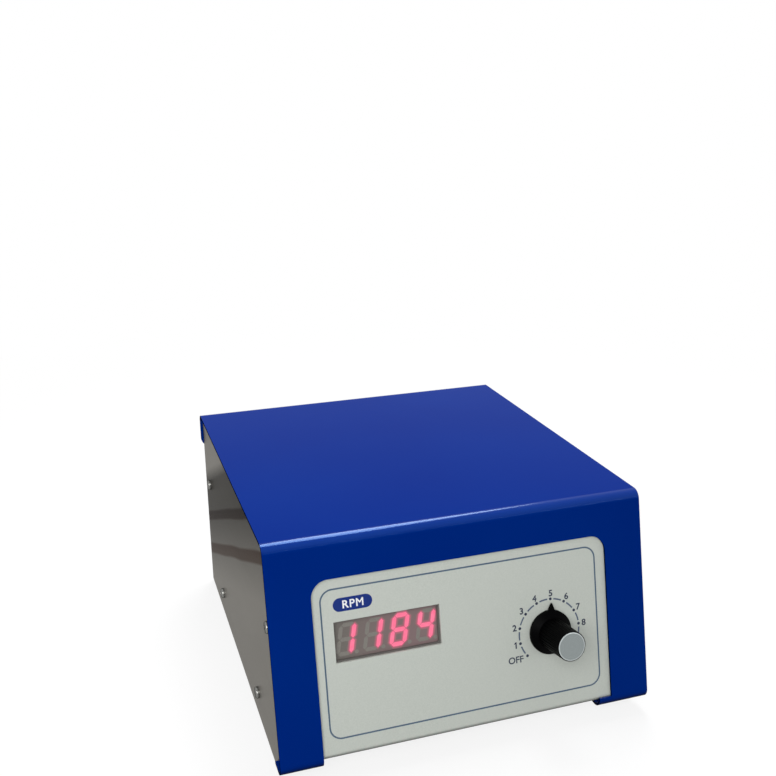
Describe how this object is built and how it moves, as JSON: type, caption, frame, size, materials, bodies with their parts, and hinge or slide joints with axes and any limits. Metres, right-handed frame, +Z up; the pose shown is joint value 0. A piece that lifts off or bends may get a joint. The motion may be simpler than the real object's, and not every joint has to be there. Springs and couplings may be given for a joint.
{
  "type": "magnetic stirrer",
  "caption": "Bench magnetic stirrer: folded blue steel cover, bare steel sides, sloped grey panel with red speed display and pointer knob, motor-driven magnets under a flat top.",
  "frame": {"origin": "middle of the bounding box, on the table under the rubber feet", "axes": "+X to the right of someone facing the panel, +Y from the panel to the rear, +Z up"},
  "size_m": [0.1866, 0.2274, 0.1116],
  "materials": {
    "blue_paint": "glossy blue enamel",
    "grey_paint": "light grey powder coat with a fine grain",
    "bare_steel": "bare rolled stainless sheet",
    "plated_steel": "bright zinc plated",
    "zinc_sheet": "zinc coated sheet",
    "foot_rubber": "black moulded rubber",
    "black_plastic": "black moulded plastic",
    "knob_plastic": "black moulded plastic, half gloss",
    "knob_silver": "spun aluminium",
    "brass": "turned brass",
    "display_face": "smoky grey face",
    "display_light": "milky light bars, red when lit",
    "circuit_board": "green board",
    "white_nylon": "natural nylon",
    "magnet_nickel": "nickel plated magnet",
    "core_steel": "varnished laminations",
    "coil_tape": "yellow tape over windings",
    "sink_aluminium": "black anodised aluminium",
    "capacitor_sleeve": "shrunk sleeve",
    "fuse_glass": "clear glass tube",
    "lead_sleeve": "insulated wire",
    "terminal_plastic": "green terminal block"
  },
  "bodies": {
    "case": {"top_cover": "blue_paint", "chassis_tray": "grey_paint", "side_panel_left": "bare_steel", "side_panel_right": "bare_steel", "case_screws": "plated_steel", "foot_front_left": "foot_rubber", "foot_front_right": "foot_rubber", "foot_rear_left": "foot_rubber", "foot_rear_right": "foot_rubber", "foot_screws": "plated_steel", "case_nuts": "plated_steel", "mains_inlet": "black_plastic", "inlet_pins": "brass", "inlet_screws": "plated_steel", "earth_stud": "brass", "earth_nuts": "brass", "led_display": "display_face", "display_segments": "display_light", "display_board": "circuit_board", "display_spacers": "brass", "speed_potentiometer": "zinc_sheet", "pot_washer": "plated_steel", "pot_nut": "plated_steel", "motor_bracket": "zinc_sheet", "bracket_grommets": "foot_rubber", "bracket_screws": "plated_steel", "motor_can": "zinc_sheet", "motor_end_cap": "black_plastic", "motor_bearing": "brass", "motor_screws": "plated_steel", "sensor_bracket": "zinc_sheet", "speed_sensor": "black_plastic", "transformer_core": "core_steel", "transformer_coil": "coil_tape", "transformer_clamp": "zinc_sheet", "clamp_screws": "plated_steel", "control_board": "circuit_board", "board_spacers": "brass", "board_screws": "plated_steel", "capacitors": "capacitor_sleeve", "heat_sink": "sink_aluminium", "mains_fuse": "fuse_glass", "fuse_clips": "brass", "terminal_block": "terminal_plastic", "mains_leads": "lead_sleeve", "transformer_leads": "lead_sleeve", "motor_leads": "lead_sleeve", "display_lead": "lead_sleeve", "earth_lead": "lead_sleeve"},
    "speed_knob": {"knob_body": "knob_plastic", "pointer_skirt": "knob_plastic", "knob_cap": "knob_silver", "knob_collet": "brass", "collet_nut": "brass", "pot_shaft": "zinc_sheet"},
    "drive_rotor": {"motor_shaft": "plated_steel", "magnet_holder": "white_nylon", "stir_magnets": "magnet_nickel", "holder_set_screw": "plated_steel"}
  },
  "joints": [
    {"name": "knob_turn", "type": "hinge", "parent": "case", "child": "speed_knob", "pos_m": [0.0419, -0.09015, 0.05047], "axis": [0, 0.9799, -0.1994], "range_deg": [-135, 135]},
    {"name": "rotor_spin", "type": "hinge", "parent": "case", "child": "drive_rotor", "pos_m": [0, 0.01556, 0], "axis": [0, 0, 1], "continuous": true}
  ]
}
